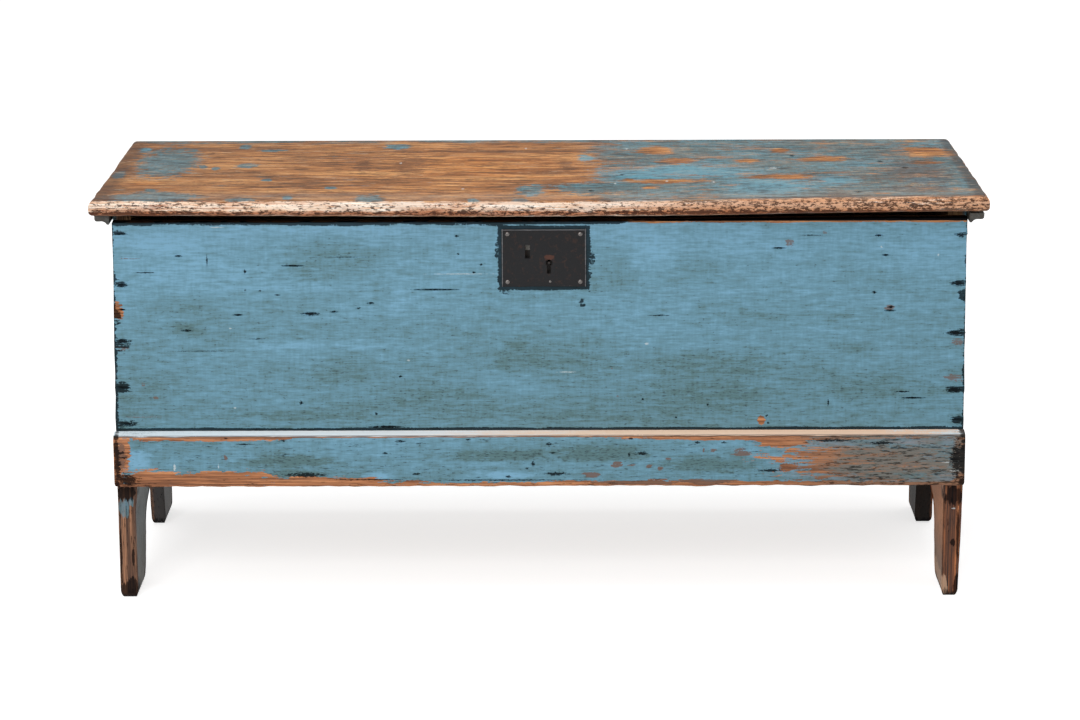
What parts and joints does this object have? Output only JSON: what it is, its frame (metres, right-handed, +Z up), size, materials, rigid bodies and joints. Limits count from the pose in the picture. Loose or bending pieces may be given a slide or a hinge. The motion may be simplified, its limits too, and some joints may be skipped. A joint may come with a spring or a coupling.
{
  "type": "blanket chest",
  "caption": "Low painted pine blanket chest with a hinged lid, legs cut from the end boards and an iron plate lock.",
  "frame": {"origin": "on the floor, at the middle of the whole chest seen from above, hinges and lid included", "axes": "+X along the chest to the right as seen from the front, +Y from the front to the back, +Z up"},
  "size_m": [1.23, 0.5023, 0.5713],
  "materials": {
    "case_paint": "worn blue oil paint on pine",
    "skirt_paint": "blue oil paint on pine, worn through along both edges",
    "lid_paint": "blue oil paint on pine, worn through over half the top",
    "cleat_paint": "dark grimy paint on pine",
    "end_board_wood": "blue paint above, worn to brown pine on the legs",
    "bare_wood": "unpainted aged pine",
    "lock_iron": "black forged iron, edges worn bright",
    "bolt_steel": "dull worn iron",
    "nail_iron": "black iron with light rust",
    "hinge_iron": "brown-black wrought iron",
    "screw_iron": "dull iron"
  },
  "bodies": {
    "chest": {"back_board": "bare_wood", "back_board_nails": "nail_iron", "bottom_board": "bare_wood", "bottom_board_nails": "nail_iron", "end_board_left": "end_board_wood", "end_board_right": "end_board_wood", "front_board": "case_paint", "front_board_nails": "nail_iron", "hinge_left_body_leaf": "hinge_iron", "hinge_left_body_screws": "screw_iron", "hinge_left_pin": "hinge_iron", "hinge_right_body_leaf": "hinge_iron", "hinge_right_body_screws": "screw_iron", "hinge_right_pin": "hinge_iron", "keyhole_cover_rivet": "nail_iron", "lock_bolt_guide_left": "lock_iron", "lock_bolt_guide_right": "lock_iron", "lock_bolt_spring": "bolt_steel", "lock_case": "lock_iron", "lock_drill_pin": "lock_iron", "lock_plate": "lock_iron", "lock_plate_nails": "nail_iron", "skirt_board": "skirt_paint", "skirt_nails": "nail_iron"},
    "lid": {"hinge_left_lid_leaf": "hinge_iron", "hinge_left_lid_screws": "screw_iron", "hinge_right_lid_leaf": "hinge_iron", "hinge_right_lid_screws": "screw_iron", "lid_board": "lid_paint", "lid_cleat_left": "cleat_paint", "lid_cleat_nails": "nail_iron", "lid_cleat_right": "cleat_paint"},
    "bolt": {"lock_bolt": "bolt_steel"}
  },
  "joints": [
    {"name": "lid_hinge", "type": "hinge", "parent": "chest", "child": "lid", "pos_m": [0, 0.24715, 0.54915], "axis": [-1, 0, 0], "range_deg": [0, 105]},
    {"name": "bolt_slide", "type": "slide", "parent": "chest", "child": "bolt", "axis": [1, 0, 0], "range_m": [0, 0.013]}
  ]
}
